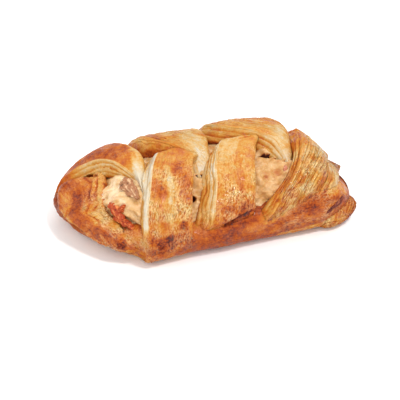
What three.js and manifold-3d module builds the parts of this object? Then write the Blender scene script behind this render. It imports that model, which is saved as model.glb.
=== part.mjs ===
// A bacon and cheese braided bun: flaky dough folded over a cheese filling in a mock braid.
// Millimetres. +X runs along the bun towards the end where the braid finishes, -Y is the front,
// +Z is up, and the origin is on the table under the middle of the bun.
//
// The crust is described on a pillow-shaped envelope. A place on it is given by along (mm from the
// middle), turn (degrees round the bun: 0 the front, 90 the crest, 180 the back) and lift (mm out
// from the envelope). Strips of dough rise from both sides and cross over the filling.
import * as THREE from "three";
import { mergeVertices } from "three/addons/utils/BufferGeometryUtils.js";
import Module from "manifold-3d";

// Driving dimensions of the envelope
const LEFT_LENGTH = 70; // from the middle of the braid to each end
const RIGHT_LENGTH = 75;
const WIDTH = 71;
const CREST = 40;
const WAIST = 12.5; // height of the widest level
const END_LENGTH = 32; // stretch of each end that curves in
const END_POWER = 0.8; // under 1 makes the ends blunter than an ellipse
const LEFT_SLOPE = [-34, -70, 0.8]; // the crest comes down between these places, by this share
const RIGHT_SLOPE = [44, 78, 0.95];
const LEFT_SKEW = 0.2; // slant of each end: how far it shifts along for each mm across
const RIGHT_SKEW = 0.13;
const SKEW_REACH = [20, 62]; // the slant grows between these distances from the middle
// The low front corner of the left end is drawn in, by depth, and the back of that end stands out. Each grows
// over a reach along, over a reach across, and the first fades over a reach of heights.
const FRONT_TUCK = { depth: 9, along: [38, 58], across: [0, 22], heights: [6, 30] };
const BACK_POINT = { depth: 1, along: [50, 68], across: [0, 20] };
const SECTION_POWER = 2.4; // superellipse power above the waist
const BELLY_POWER = 3.5; // superellipse power below the waist
const BELLY_SINK = 2.6; // the belly runs on below the table and is cut flat there
const MM_PER_DEGREE = 0.6; // about how far a degree of turn is on the crust

// Strips of dough
const DOUGH_THICKNESS = 10.5; // crown of a strip to its underside
const THIN_ENDS = [60, 86, 0.62]; // a strip thins by this share where it wraps round an end of the bun
const SLOPE_SHARE = 0.42; // a strip's cut side takes no more than this share of its width
const LEDGES = 3; // ledges of the dough's layers on a cut side
const LEDGE_RISE = 0.45; // share of a ledge's width that is its steep part
const LEDGE_STEP = 0.7; // share of a ledge's height that the steep part climbs
const EDGE_WIDTH = 4; // rounding of the other edge
const EDGE_DROP = 2;
const RING_TURN = 8; // degrees between rings
const FRONT_ENDS = { footRun: 24, footDrop: 5.2, tipRun: 18, tipDrop: 9 };
const BACK_ENDS = { footRun: 30, footDrop: 5.5, tipRun: 54, tipDrop: 10.5 };

// Strips in the order that they are folded: turn of the foot and of the tip, how much further round the foot
// starts on the right, places of the left and right edges evenly spaced from foot to tip, lift of the crown,
// arch across it, the side that is cut (-1 left, 1 right), and the width and drop of the cut side. Some have
// ends of their own, a tipSlant, which is how many degrees sooner the tip ends away from the cut side and
// between which shares of the width that grows, or a lean, which is how much higher the cut side lies.
const STRIPS = {
  front_1: {
    foot: -24, tip: 122, slant: 0, left: [-80, -82, -82, -80], right: [-56, -59.5, -54.5, -47.5],
    crown: 3.2, arch: 2, cut: 1, slope: [7, 3.5], ends: { tipRun: 14 }, tipSlant: [-42, 0, 0.5],
  },
  back_1: {
    foot: 190, tip: 54, slant: 0, left: [-76, -59, -50, -44.8, -40.5], right: [-50, -42, -33.5, -29.5, -36.2],
    crown: 3, arch: 1.2, cut: -1, slope: [4.8, 6], ends: { tipRun: 46 },
  },
  front_2: {
    foot: -24, tip: 112, slant: 0, left: [-50, -48, -36.5, -27], right: [-15.5, -15, -8, -2],
    crown: 1.5, arch: 0.9, cut: -1, slope: [8, 7], tipSlant: [22, 0.55, 1.1],
  },
  back_2: {
    foot: 190, tip: 58, slant: 0, left: [-37, -31, -26, -11.5, -6.5], right: [-8, 2, 6, 4, -1],
    crown: 2.6, arch: 1, cut: -1, slope: [5, 6.5],
  },
  front_3: {
    foot: -2, tip: 113, slant: 8, left: [-15, -8, -1.5, 8], right: [16, 19.5, 26, 34.5],
    crown: 1.5, arch: 0.9, cut: -1, slope: [7, 7], ends: { footRun: 14 },
  },
  back_3: {
    foot: 190, tip: 53, slant: 0, left: [-2, 3, 8.5, 29.5, 38.5], right: [34, 43, 48, 48, 42],
    crown: 3.4, arch: 2.4, cut: -1, slope: [7, 6.5], lean: 2.4,
  },
  front_4: {
    foot: -2, tip: 154, slant: 22, left: [16, 38.5, 49.5, 56], right: [49, 63, 71, 75],
    crown: 3.8, arch: 0.9, cut: -1, slope: [4.5, 6.5], ends: { footRun: 8 },
  },
  front_5: {
    foot: 10, tip: 112, slant: 4, left: [36, 51, 61, 67], right: [84, 86, 86, 84],
    crown: 2.4, arch: 0.9, cut: -1, slope: [8, 7.5], ends: { footRun: 8 },
  },
  back_4: {
    foot: 190, tip: 112, slant: 0, left: [44, 50, 58, 62], right: [80, 82, 82, 80],
    crown: 0.2, arch: 1, cut: -1, slope: [8, 7.5],
  },
};

// Low wall and floor that the strips grow from
const WALL_LIFT = -1.2;
const WALL_ENDS = [-82, 88]; // the wall closes round both ends at these places
const END_TUCK = [62, 84, 1.2]; // the wall lies deeper by this much towards the ends
const TROUGH_ENDS = [57, 67]; // the hollow for the filling runs out between these distances
const TROUGH_LIFT = -17; // inside of the wall, under the filling
const WALL_TOP = [1, 27]; // turns between which the wall gives way to the filling
const WALL_CLIMBS = [ // [from, to, degrees]: how far up its front climbs between some places, which add up
  [-74, -60, 8],
  [-30, -14, -8],
  [-12, 18, 6],
  [20, 46, 14],
];
const WALL_BULGES = [ // [along, turn, half length, half height, lift]
  [50, 10, 34, 24, 2.4],
  [0, 2, 28, 20, 2],
  [-34, -4, 30, 26, 2.6],
];
// Where the rolled dough ends, pinched by this share towards its right end
const KNOB = { centre: [61.2, -23.4, 7.4], radii: [12.8, 10.6, 8.2], pinch: 0.3 };
const CORES = [ // solid dough inside both ends
  { centre: [-55, 5, 12], radii: [11, 18, 8], pinch: 0 },
  { centre: [58, 0, 11], radii: [12, 24, 9], pinch: 0 },
];

// Filling
const FILLING_LIFT = -7;
const FILLING_FLOOR = 7;
const FILLING_ENDS = [-63, 60];
const FILLING_ROUNDING = [10, 2]; // length and depth of its rounded ends
const FILLING_TURNS = [13, 167];
const LUMPS = [[0.42, 0.09, 0.9], [0.9, 0.13, 0.5]]; // [waves per mm along, per degree, height]
const HOLLOWS = [ // [along, turn, radius, depth]
  [-58, 104, 4, 4],
  [-33, 100, 8, 7],
  [-4, 64, 3, 5],
  [-12, 38, 2.6, 4],
  [31, 76, 2.8, 7],
  [34, 74, 2.8, 7],
  [38, 64, 2.2, 5],
];
const SWELLS = [ // [along, turn, half length, half height in degrees, rise]
  [-46, 60, 15, 44, 4],
  [30, 45, 16, 50, 1.6],
];
const GAP = 0.3; // clearance between separate pieces
const CORNER_GAP = [0.2, -0.2, 0]; // clearance between the dough and the filling at the back left corner
const SLIVER = 0.02; // edges shorter than this are left out
// Dark gaps between strips: [along, turn, lift, half length, half width, half depth, slant in degrees]
const CREVICES = [
  [-52, 133, 0, 5, 1.8, 5, -65],
];

// Bacon: [turn, along, half width, lift of the top] at each station
const BACON = {
  bacon_1: [[17, -56.4, 1.2, -3.6], [33, -54, 2.4, -2.2], [44, -53, 2.2, -2.2], [56, -52.2, 0.9, -3.6]],
  bacon_2: [[47, -42, 1.4, -3.8], [55, -42.6, 2.8, -2.4], [66, -43, 3.4, -2.2], [80, -43.4, 1.2, -3.8]],
  bacon_3: [[47.5, 35.8, 0.6, -5], [49.5, 36.2, 1, -4.2], [52, 36.6, 0.9, -4.4], [54, 37, 0.6, -5]],
  bacon_4: [[-1, 48, 1.2, -0.4], [5, 51.4, 3, 1.4], [10, 55.6, 3.6, 2.4], [16, 63, 1.2, 0.4]],
};
const BACON_THICKNESS = 3;

const wasm = await Module();
wasm.setup();

// Cuts a number to a range.
const clamp = (x, low, high) => Math.min(high, Math.max(low, x));

// Smooth 0 to 1 ramp of x between two values.
function ramp(x, from, to) {
  const t = clamp((x - from) / (to - from), 0, 1);
  return t * t * (3 - 2 * t);
}

// Point of the envelope itself.
function envelope(along, turn) {
  const straight = (along < 0 ? LEFT_LENGTH : RIGHT_LENGTH) - END_LENGTH;
  const t = clamp((Math.abs(along) - straight) / (END_LENGTH * Math.PI / 2), 0, 0.985);
  const x = Math.sign(along) * Math.min(Math.abs(along), straight + END_LENGTH * Math.sin(t * Math.PI / 2));
  const scale = Math.cos(t * Math.PI / 2) ** END_POWER;
  const angle = THREE.MathUtils.degToRad(turn);
  const c = Math.cos(angle);
  const s = Math.sin(angle);
  const slopes = [LEFT_SLOPE, RIGHT_SLOPE].map(([from, to, share]) => share * ramp(x, from, to));
  const crest = CREST - WAIST - (CREST - WAIST) * (slopes[0] + slopes[1]);
  const rise = s > 0 ? crest : WAIST + BELLY_SINK;
  const power = s > 0 ? SECTION_POWER : BELLY_POWER;
  const radius = (Math.abs(c / (WIDTH / 2)) ** power + Math.abs(s / rise) ** power) ** (-1 / power);
  const y = -radius * c * scale;
  const skew = LEFT_SKEW * ramp(-x, ...SKEW_REACH) + RIGHT_SKEW * ramp(x, ...SKEW_REACH);
  const z = WAIST + radius * s * scale;
  const low = 1 - ramp(z, ...FRONT_TUCK.heights);
  const tuck = FRONT_TUCK.depth * low * ramp(-x, ...FRONT_TUCK.along) * ramp(-y, ...FRONT_TUCK.across);
  const point = BACK_POINT.depth * ramp(-x, ...BACK_POINT.along) * ramp(y, ...BACK_POINT.across);
  return new THREE.Vector3(x - skew * y + tuck - point, y, z);
}

// Point at a lift from the envelope, along its normal.
function place(along, turn, lift) {
  const h = 0.25;
  const du = envelope(along + h, turn).sub(envelope(along - h, turn));
  const dv = envelope(along, turn + h).sub(envelope(along, turn - h));
  return envelope(along, turn).addScaledVector(du.cross(dv).normalize(), lift);
}

// Closed body through rings of points; both ends are closed by a fan.
function loft(rings) {
  const n = rings[0].length;
  const points = rings.flat();
  const middle = (ring) => ring.reduce((sum, p) => sum.add(p), new THREE.Vector3()).divideScalar(n);
  points.push(middle(rings[0]), middle(rings.at(-1)));
  const faces = [];
  for (let j = 0; j + 1 < rings.length; j++) {
    for (let i = 0; i < n; i++) {
      const a = j * n + i;
      const b = j * n + (i + 1) % n;
      faces.push(a, b, b + n, a, b + n, a + n);
    }
  }
  const last = (rings.length - 1) * n;
  for (let i = 0; i < n; i++) {
    faces.push(points.length - 2, (i + 1) % n, i);
    faces.push(points.length - 1, last + i, last + (i + 1) % n);
  }
  return new THREE.BufferGeometry().setFromPoints(points).setIndex(faces);
}

// A geometry as a solid that can be joined and cut.
function solid(geometry) {
  const bare = geometry.clone();
  bare.deleteAttribute("normal");
  bare.deleteAttribute("uv");
  const merged = mergeVertices(bare, 1e-4);
  return new wasm.Manifold(new wasm.Mesh({
    numProp: 3,
    vertProperties: merged.attributes.position.array,
    triVerts: new Uint32Array(merged.index.array),
  }));
}

// The largest body of a solid, which leaves out loose scraps and slivers.
function largest(made) {
  return made.simplify(SLIVER).decompose().reduce((a, b) => (a.volume() > b.volume() ? a : b));
}

// Value at share u of the way along a row of evenly spaced values, by a Catmull-Rom spline.
function spline(values, u) {
  const at = clamp(u, 0, 1) * (values.length - 1);
  const k = Math.min(Math.floor(at), values.length - 2);
  const t = at - k;
  const [a, b, c, d] = [k - 1, k, k + 1, k + 2].map((i) => values[clamp(i, 0, values.length - 1)]);
  return b + 0.5 * t * (c - a + t * (2 * a - 5 * b + 4 * c - d + t * (3 * (b - c) + d - a)));
}

// Places across a strip of a given width, from the cut side at 0 to 1, with the drop below its crown.
function section(width, { arch, slope: [cutWidth, cutDrop] }) {
  const slope = Math.min(cutWidth / width, SLOPE_SHARE);
  const edge = Math.min(EDGE_WIDTH / width, 0.25);
  const points = [];
  for (let k = 0; k < LEDGES; k++) {
    points.push([slope * k / LEDGES, cutDrop * (1 - k / LEDGES)]);
    points.push([slope * (k + LEDGE_RISE) / LEDGES, cutDrop * (1 - (k + LEDGE_STEP) / LEDGES)]);
  }
  points.push([slope, 0], [0.62, 0], [1 - edge, 0], [1 - 0.3 * edge, 0.3 * EDGE_DROP], [1, EDGE_DROP]);
  return points.map(([u, down]) => [u, down + arch * (2 * u - 1.1) ** 2]);
}

// Lift of a strip's crown: it grows out of the wall at the foot and dives under the next strip at the tip.
function crownLift({ foot, tip, crown, ends: own }, turn) {
  const ends = { ...(foot < tip ? FRONT_ENDS : BACK_ENDS), ...own };
  const fromFoot = ends.footDrop * (1 - ramp(Math.abs(turn - foot), 0, ends.footRun));
  const toTip = ends.tipDrop * (1 - ramp(Math.abs(turn - tip), 0, ends.tipRun));
  return crown - fromFoot - toTip;
}

// One folded strip of dough. Its rings run from the lower turn to the higher.
function strip(made) {
  const { foot, tip, slant, left, right, cut, lean = 0, tipSlant: [sooner, first, last] = [0, 0, 1] } = made;
  const steps = Math.round(Math.abs(tip - foot) / RING_TURN);
  const rings = [];
  for (let j = 0; j <= steps; j++) {
    const share = foot < tip ? j / steps : 1 - j / steps;
    const turn = THREE.MathUtils.lerp(foot, tip, share);
    const lift = crownLift(made, turn);
    const [from, to] = [spline(left, share), spline(right, share)];
    const at = (u, down) => {
      const across = cut < 0 ? u : 1 - u;
      const turned = turn + slant * across * (1 - share) - sooner * ramp(u, first, last) * ramp(share, 0.7, 1);
      return place(THREE.MathUtils.lerp(from, to, across), turned, lift - down + lean * (0.5 - u));
    };
    const top = section(to - from, made).map(([u, down]) => at(u, down));
    const under = [0.97, 0.5, 0.03].map((u) => {
      const end = Math.abs(THREE.MathUtils.lerp(from, to, cut < 0 ? u : 1 - u));
      return at(u, DOUGH_THICKNESS * (1 - THIN_ENDS[2] * ramp(end, THIN_ENDS[0], THIN_ENDS[1])));
    });
    const ring = [...top, ...under];
    rings.push(cut < 0 ? ring : ring.reverse());
  }
  return solid(loft(rings));
}

// The low wall and floor of dough that the strips grow from, with closed ends.
function trough() {
  const rings = [];
  const steps = 30;
  const spokes = 32;
  for (let j = 0; j <= steps; j++) {
    const at = THREE.MathUtils.lerp(...WALL_ENDS, j / steps);
    const ring = [];
    for (let i = 0; i < spokes; i++) {
      const turn = 270 - 360 * i / spokes;
      const side = turn > 90 ? 180 - turn : turn;
      const climbs = WALL_CLIMBS.map(([start, end, rise]) => rise * ramp(at, start, end));
      const climb = turn < 90 ? climbs.reduce((a, b) => a + b) : 0;
      const open = ramp(side - climb, ...WALL_TOP) * (1 - ramp(Math.abs(at + 4), ...TROUGH_ENDS));
      let wall = WALL_LIFT - END_TUCK[2] * ramp(Math.abs(at), END_TUCK[0], END_TUCK[1]);
      for (const [a, t, length, height, lift] of WALL_BULGES) {
        wall += lift * (1 - ramp(Math.hypot((at - a) / length, (turn - t) / height), 0, 1));
      }
      ring.push(place(at, turn, THREE.MathUtils.lerp(wall, TROUGH_LIFT, open)));
    }
    rings.push(ring);
  }
  return solid(loft(rings));
}

// Lift of the filling's top: lumps, swells, and hollows under the strips' edges.
function fillingLift(at, turn) {
  const [broad, fine] = LUMPS;
  const lumps = broad[2] * Math.sin(at * broad[0] + 1) * Math.sin(turn * broad[1])
    + fine[2] * Math.sin(at * fine[0] + turn * fine[1]);
  const [first, last] = FILLING_ENDS;
  const [length, depth] = FILLING_ROUNDING;
  const full = ramp(at, first, first + length) * (1 - ramp(at, last - length, last));
  let lift = FILLING_LIFT + lumps - depth * (1 - full);
  for (const [a, t, radius, hollow] of HOLLOWS) {
    const distance = Math.hypot(at - a, (turn - t) * MM_PER_DEGREE) / radius;
    lift -= hollow * (1 - ramp(distance, 0.2, 1));
  }
  for (const [a, t, length, height, rise] of SWELLS) {
    lift += rise * (1 - ramp(Math.hypot((at - a) / length, (turn - t) / height), 0.3, 1));
  }
  return lift;
}

// The cheese filling, a core that runs through the bun, grown all round by a clearance.
function filling(grow) {
  const rings = [];
  const steps = 38;
  const spokes = 18;
  for (let j = 0; j <= steps; j++) {
    const past = (j === steps ? grow : 0) - (j === 0 ? grow : 0);
    const at = THREE.MathUtils.lerp(...FILLING_ENDS, j / steps) + past;
    const ring = [];
    for (let i = 0; i <= spokes; i++) {
      const turn = THREE.MathUtils.lerp(FILLING_TURNS[1], FILLING_TURNS[0], i / spokes);
      ring.push(place(at, turn, fillingLift(at, turn) + grow));
    }
    const [back, front] = [ring[0], ring.at(-1)];
    for (const share of [0.12, 0.38, 0.62, 0.88]) {
      ring.push(front.clone().lerp(back, share).setZ(FILLING_FLOOR - grow));
    }
    rings.push(ring);
  }
  return solid(loft(rings));
}

// A wavy slab of bacon, grown by a clearance.
function bacon(stations, grow) {
  const steps = 9;
  const rings = [];
  for (let j = 0; j <= steps; j++) {
    const column = (i) => spline(stations.map((row) => row[i]), j / steps);
    const [turn, middle, half, lift] = [0, 1, 2, 3].map(column);
    const wave = 0.5 * Math.sin(j * 1.7);
    const turnEnd = turn + (j === 0 ? -grow : 0) + (j === steps ? grow : 0);
    const at = (v, height) => place(middle + v * (half + grow), turnEnd, lift + height);
    rings.push([
      at(-1, -1.1), at(-0.7, 0.1 + wave * 0.5 + grow), at(0, wave + grow), at(0.7, grow - 0.2), at(1, -1.2),
      at(0.8, -BACON_THICKNESS - grow), at(-0.8, -BACON_THICKNESS - grow),
    ]);
  }
  return solid(loft(rings));
}

// A body with a round section every way, pinched towards its right end.
function egg({ centre, radii, pinch }) {
  const ball = new THREE.SphereGeometry(1, 14, 10);
  const points = ball.attributes.position;
  for (let i = 0; i < points.count; i++) {
    const wide = 1 - pinch * points.getX(i);
    points.setXYZ(i, points.getX(i), wide * points.getY(i), wide * points.getZ(i));
  }
  return solid(ball.scale(...radii).translate(...centre));
}

// An egg-shaped crevice that lies across the surface.
function crevice([at, turn, lift, length, width, depth, slant]) {
  const middle = place(at, turn, lift);
  const out = place(at, turn, lift + 1).sub(middle);
  const forward = place(at + 1, turn, lift).sub(middle).normalize();
  forward.applyAxisAngle(out, THREE.MathUtils.degToRad(slant));
  const sideways = out.clone().cross(forward);
  const frame = new THREE.Matrix4().makeBasis(forward, sideways, out).setPosition(middle);
  return solid(new THREE.SphereGeometry(1, 10, 6).scale(length, width, depth).applyMatrix4(frame));
}

// A named mesh made from a solid.
function mesh(name, made, material) {
  const data = made.getMesh();
  const geometry = new THREE.BufferGeometry();
  geometry.setAttribute("position", new THREE.BufferAttribute(new Float32Array(data.vertProperties), 3));
  geometry.setIndex(new THREE.BufferAttribute(new Uint32Array(data.triVerts), 1));
  geometry.computeVertexNormals();
  const made3d = new THREE.Mesh(geometry, material);
  made3d.name = name;
  return made3d;
}

const crustMaterial = new THREE.MeshStandardMaterial({ color: 0xcf8a45, roughness: 0.45, metalness: 0 });
const cheeseMaterial = new THREE.MeshStandardMaterial({ color: 0xf0d9a6, roughness: 0.5, metalness: 0 });
const baconMaterial = new THREE.MeshStandardMaterial({ color: 0xb0553a, roughness: 0.4, metalness: 0 });

const table = solid(new THREE.BoxGeometry(400, 400, 40).translate(0, 0, -20));
const pieces = Object.entries(BACON);
const baconGrown = wasm.Manifold.union(pieces.map(([, stations]) => bacon(stations, GAP)));

let dough = wasm.Manifold.union([trough(), ...[KNOB, ...CORES].map(egg), ...Object.values(STRIPS).map(strip)]);
dough = dough.subtract(wasm.Manifold.union(CREVICES.map(crevice))).subtract(filling(GAP));
dough = largest(dough.subtract(baconGrown).subtract(table));
const cheese = largest(filling(0).subtract(baconGrown).subtract(dough.translate(CORNER_GAP)));

const bun = new THREE.Group();
bun.add(mesh("dough", dough, crustMaterial));
bun.add(mesh("cheese_filling", cheese, cheeseMaterial));
for (const [name, stations] of pieces) bun.add(mesh(name, bacon(stations, 0), baconMaterial));

export default bun;
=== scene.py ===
import math

import bpy
import numpy as np
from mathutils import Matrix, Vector
from mathutils.kdtree import KDTree


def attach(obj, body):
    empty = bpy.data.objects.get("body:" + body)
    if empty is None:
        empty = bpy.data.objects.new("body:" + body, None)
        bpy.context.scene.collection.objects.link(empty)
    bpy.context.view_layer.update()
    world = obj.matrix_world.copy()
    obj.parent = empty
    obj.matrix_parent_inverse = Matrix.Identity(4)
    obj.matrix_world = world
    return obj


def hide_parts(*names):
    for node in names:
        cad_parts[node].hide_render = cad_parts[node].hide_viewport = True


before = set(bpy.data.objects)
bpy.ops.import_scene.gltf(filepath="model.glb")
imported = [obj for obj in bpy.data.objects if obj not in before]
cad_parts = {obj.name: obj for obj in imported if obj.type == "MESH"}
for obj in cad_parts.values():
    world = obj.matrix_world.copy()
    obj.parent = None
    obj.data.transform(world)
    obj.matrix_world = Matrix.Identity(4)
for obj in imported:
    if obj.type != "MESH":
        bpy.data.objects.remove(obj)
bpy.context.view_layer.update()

# A bacon and cheese braided bun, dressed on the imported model. The shapes are worked out in millimetres:
# +X along the bun, -Y the front, +Z up. A place on the crust is given by along (mm from the middle),
# turn (degrees round the bun: 0 the front, 90 the crest, 180 the back) and lift (mm out from the envelope).
MM = 0.001

# Envelope of the bun
LEFT_LENGTH = 70
RIGHT_LENGTH = 75
WIDTH = 71
CREST = 40
WAIST = 12.5
END_LENGTH = 32
END_POWER = 0.8
END_LIMIT = 0.985  # share of an end's quarter turn where it is closed
LEFT_SLOPE = (-34, -70, 0.8)  # along from, along to, and the share of the height lost between them
RIGHT_SLOPE = (44, 78, 0.95)
LEFT_SKEW = 0.2
RIGHT_SKEW = 0.13
SKEW_REACH = (20, 62)
FRONT_TUCK = {"depth": 9, "along": (38, 58), "across": (0, 22), "heights": (6, 30)}  # low corner drawn in
BACK_POINT = {"depth": 3.6, "along": (50, 68), "across": (0, 20)}  # left tip stands out at the back
SECTION_POWER = 2.4
BELLY_POWER = 3.5
BELLY_SINK = 2.6
MM_PER_DEGREE = 0.6
NORMAL_STEP = 0.25  # mm and degrees between the points that a normal is worked out from

# Strips of dough
STEP = 0.45  # mm between points of a strip
THICKNESS = 10.5
THIN_ENDS = (60, 86, 0.62)  # mm from the middle, and the share of the thickness lost there
SLOPE_SHARE = 0.42  # most of a strip's width that its cut side takes
EDGE_WIDTH = 1.8
EDGE_DROP = 1.6
ARCH_MIDDLE = 1.1
CUT_DENSITY = 2.2  # how much denser the points of a cut side are
LEAF_OUT = 0.45  # how far the leaves of a cut side stand out or in
LEAF_GROOVE = 0.5  # depth of the grooves under them
PEEL_HEIGHT = 0.45  # of a peeled layer on the crown
SIDE_GROOVES = 3.5  # grooves down the side away from the cut
SIDE_DEPTH = 0.35
FOOT_DROP = 5.3
TIP_DROP = (9, 10.5)  # of a front strip and of a back strip
TIP_HOLD = (0.35, 0.7)  # shares of the width where a tip comes to leave out its dive
TIP_FADE = (0.6, 0.6, 0.9)  # share of its drop that a back cut side loses, and where

# Strips in the order that they are folded. Rows of values run from foot to tip.
# foot, tip: turns where the strip starts and ends. left, right: places of its edges.
# foot_run, tip_run: turns over which the foot rises and the tip dives. slant: degrees that the foot starts
# later on the right. tip_slant: degrees that the tip ends sooner away from the cut side, and the shares of
# the width over which that grows. tip_hold: share of its dive that the tip leaves out there.
# crown: lift of the crown. arch: how far its edges lie below it. lean: how much higher the cut side lies.
# ply: peeled layers in each mm across the crown. cut: -1 where the cut side is on the left, 1 on the right.
# slope: width, drop and leaves of the cut side. merge: turns between which it grows out of the wall.
# pale: shares between which its colour comes in. bake: how brown the crown is. cut_bake: the same for the cut
# side, from its outer edge to the crest. fade: mm of the crown over which they blend.
# crackle: how cracked and flaky the skin is. lined: how much it shows lines of layers.
COMMON = {"slant": 0, "tip_slant": (0, 0, 1), "tip_hold": 0, "lean": 0, "cut": -1, "ply": 0.14, "fade": 0.4}
FRONT = dict(COMMON, tip_run=18, arch=0.9)
BACK = dict(COMMON, foot=190, foot_run=30, tip_run=54, arch=1, merge=(190, 176))
STRIPS = {
    "front_1": dict(
        FRONT, foot=-24, tip=133, foot_run=24, tip_run=10, tip_slant=(-42, 0, 0.5), cut=1,
        left=(-80, -82, -82, -80), right=(-56, -59.2, -53.6, -46.5),
        crown=3.2, arch=2, slope=(8, 3.6, 3), merge=(2, 16), pale=(0.1, 0.3),
        bake=(0.7, 0.74, 0.76, 0.78), cut_bake=(0.4, 0.5), fade=3,
        crackle=(0.7, 0.4, 0.2, 0.15), lined=(0.1, 0.1),
    ),
    "back_1": dict(
        BACK, tip=54, tip_run=46, tip_hold=0.4,
        left=(-76, -59, -50, -44.8, -40.5), right=(-50, -42, -33.5, -29.5, -36.2),
        crown=3, arch=1.2, ply=0.1, slope=(4.8, 6, 4), pale=(0.16, 0.34),
        bake=(0.72, 0.76, 0.72, 0.6, 0.2), cut_bake=(0.28, 0.24),
        crackle=(0.3, 0.3, 0.25, 0.1, 0), lined=(0.3, 0.3, 0.2, 0, 0),
    ),
    "front_2": dict(
        FRONT, foot=-24, tip=112, foot_run=24, tip_slant=(22, 0.55, 1.1), tip_hold=0.75,
        left=(-50, -48, -36.5, -27), right=(-15.5, -15, -8, -2),
        crown=1.5, slope=(8, 7, 3), merge=(6, 20), pale=(0.22, 0.34),
        bake=(0.86, 0.66, 0.58, 0.54, 0.52), cut_bake=(0.42, 0),
        crackle=(0.5, 1, 0.8, 0.15, 0.1), lined=(0.2, 0.3, 0.4, 0.3, 0.2),
    ),
    "back_2": dict(
        BACK, tip=58, left=(-37, -31, -26, -11.5, -6.5), right=(-8, 2, 6, 4, -1),
        crown=2.6, ply=0.2, slope=(5, 6.5, 1), pale=(0, 0.1),
        bake=(0.64, 0.62, 0.52, 0.4, 0.22), cut_bake=(0.44, 0.42), fade=0.6,
        crackle=(0.4, 0.3, 0.1, 0.1, 0), lined=(0.6, 0.7, 0.8, 0.4, 0),
    ),
    "front_3": dict(
        FRONT, foot=-2, tip=113, slant=8, foot_run=14,
        left=(-15, -8, -1.5, 8), right=(16, 19.5, 26, 34.5),
        crown=1.5, slope=(7, 7, 4), merge=(-2, 12), pale=(0.05, 0.2),
        bake=(0.76, 0.62, 0.42, 0.36, 0.38), cut_bake=(0.44, 0.16),
        crackle=(0.7, 0.75, 0.5, 0.1, 0.1), lined=(0.3, 0.3, 0.2, 0.1, 0.1),
    ),
    "back_3": dict(
        BACK, tip=53, lean=2.4, left=(-2, 3, 8.5, 29.5, 38.5), right=(34, 43, 48, 48, 42),
        crown=3.4, arch=2.4, ply=0.2, slope=(7, 6.5, 3), pale=(0.2, 0.4),
        bake=(0.64, 0.62, 0.54, 0.44, 0.24), cut_bake=(0.38, 0.34),
        crackle=(0.4, 0.3, 0.2, 0.1, 0), lined=(0.5, 0.7, 0.7, 0.3, 0),
    ),
    "front_4": dict(
        FRONT, foot=-2, tip=154, slant=22, foot_run=16, left=(16, 38.5, 49.5, 56), right=(49, 63, 71, 75),
        crown=3.8, ply=0.22, slope=(4.5, 6.5, 3), merge=(-12, -2), pale=(0.04, 0.24),
        bake=(0.72, 0.52, 0.42, 0.42, 0.46, 0.58), cut_bake=(0.54, 0.5), fade=2,
        crackle=(0.9, 0.6, 0.3, 0.3), lined=(1, 1, 0.8, 0.7),
    ),
    "front_5": dict(
        FRONT, foot=10, tip=112, slant=4, foot_run=18, left=(36, 51, 61, 67), right=(84, 86, 83, 76),
        crown=2.4, ply=0.22, slope=(8, 7.5, 5), merge=(-10, 0), pale=(0.04, 0.26),
        bake=(0.74, 0.5, 0.42, 0.44, 0.48, 0.6), cut_bake=(0.5, 0.42),
        crackle=(0.6, 0.4, 0.3, 0.3), lined=(1, 1, 0.8, 0.7),
    ),
    "back_4": dict(
        BACK, tip=112, left=(44, 50, 58, 62), right=(80, 82, 82, 80),
        crown=0.2, slope=(8, 7.5, 5), pale=(0, 0.1),
        bake=(0.64, 0.6, 0.54, 0.54), cut_bake=(0.5, 0.35),
        crackle=(0.4, 0.4, 0.3, 0.3), lined=(0.5, 0.6, 0.6, 0.5),
    ),
}

# Low wall and floor of dough, knob at the right and cores inside, with the numbers of their bodies
WALL_STEP = 0.7
WALL_LIFT = -1.2
WALL_ENDS = (-82, 88)
END_TUCK = (62, 84, 1.2)  # mm from the middle, and how far the wall's ends draw in there
TROUGH_ENDS = (57, 67)
TROUGH_LIFT = -17
WALL_TOP = (1, 27)  # turns between which the wall falls to the trough
WALL_CLIMB = ((-74, -60, 8), (-12, 18, 6), (20, 46, 14), (-30, -14, -8))  # (from, to, degrees more)
WALL_BULGES = (  # (along, turn, length, height, lift)
    (50, 10, 34, 24, 2.4), (0, 2, 28, 20, 2), (-34, -4, 30, 26, 2.6),
)
WALL_BODY = 20
KNOB_BODY = 21
CORE_BODY = 22
KNOB = {"centre": (61.2, -23.4, 7.4), "radii": (12.8, 10.6, 8.2), "pinch": 0.3}
CORES = (
    {"centre": (-55, 5, 12), "radii": (11, 18, 8)},
    {"centre": (58, 0, 11), "radii": (12, 24, 9)},
)

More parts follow.
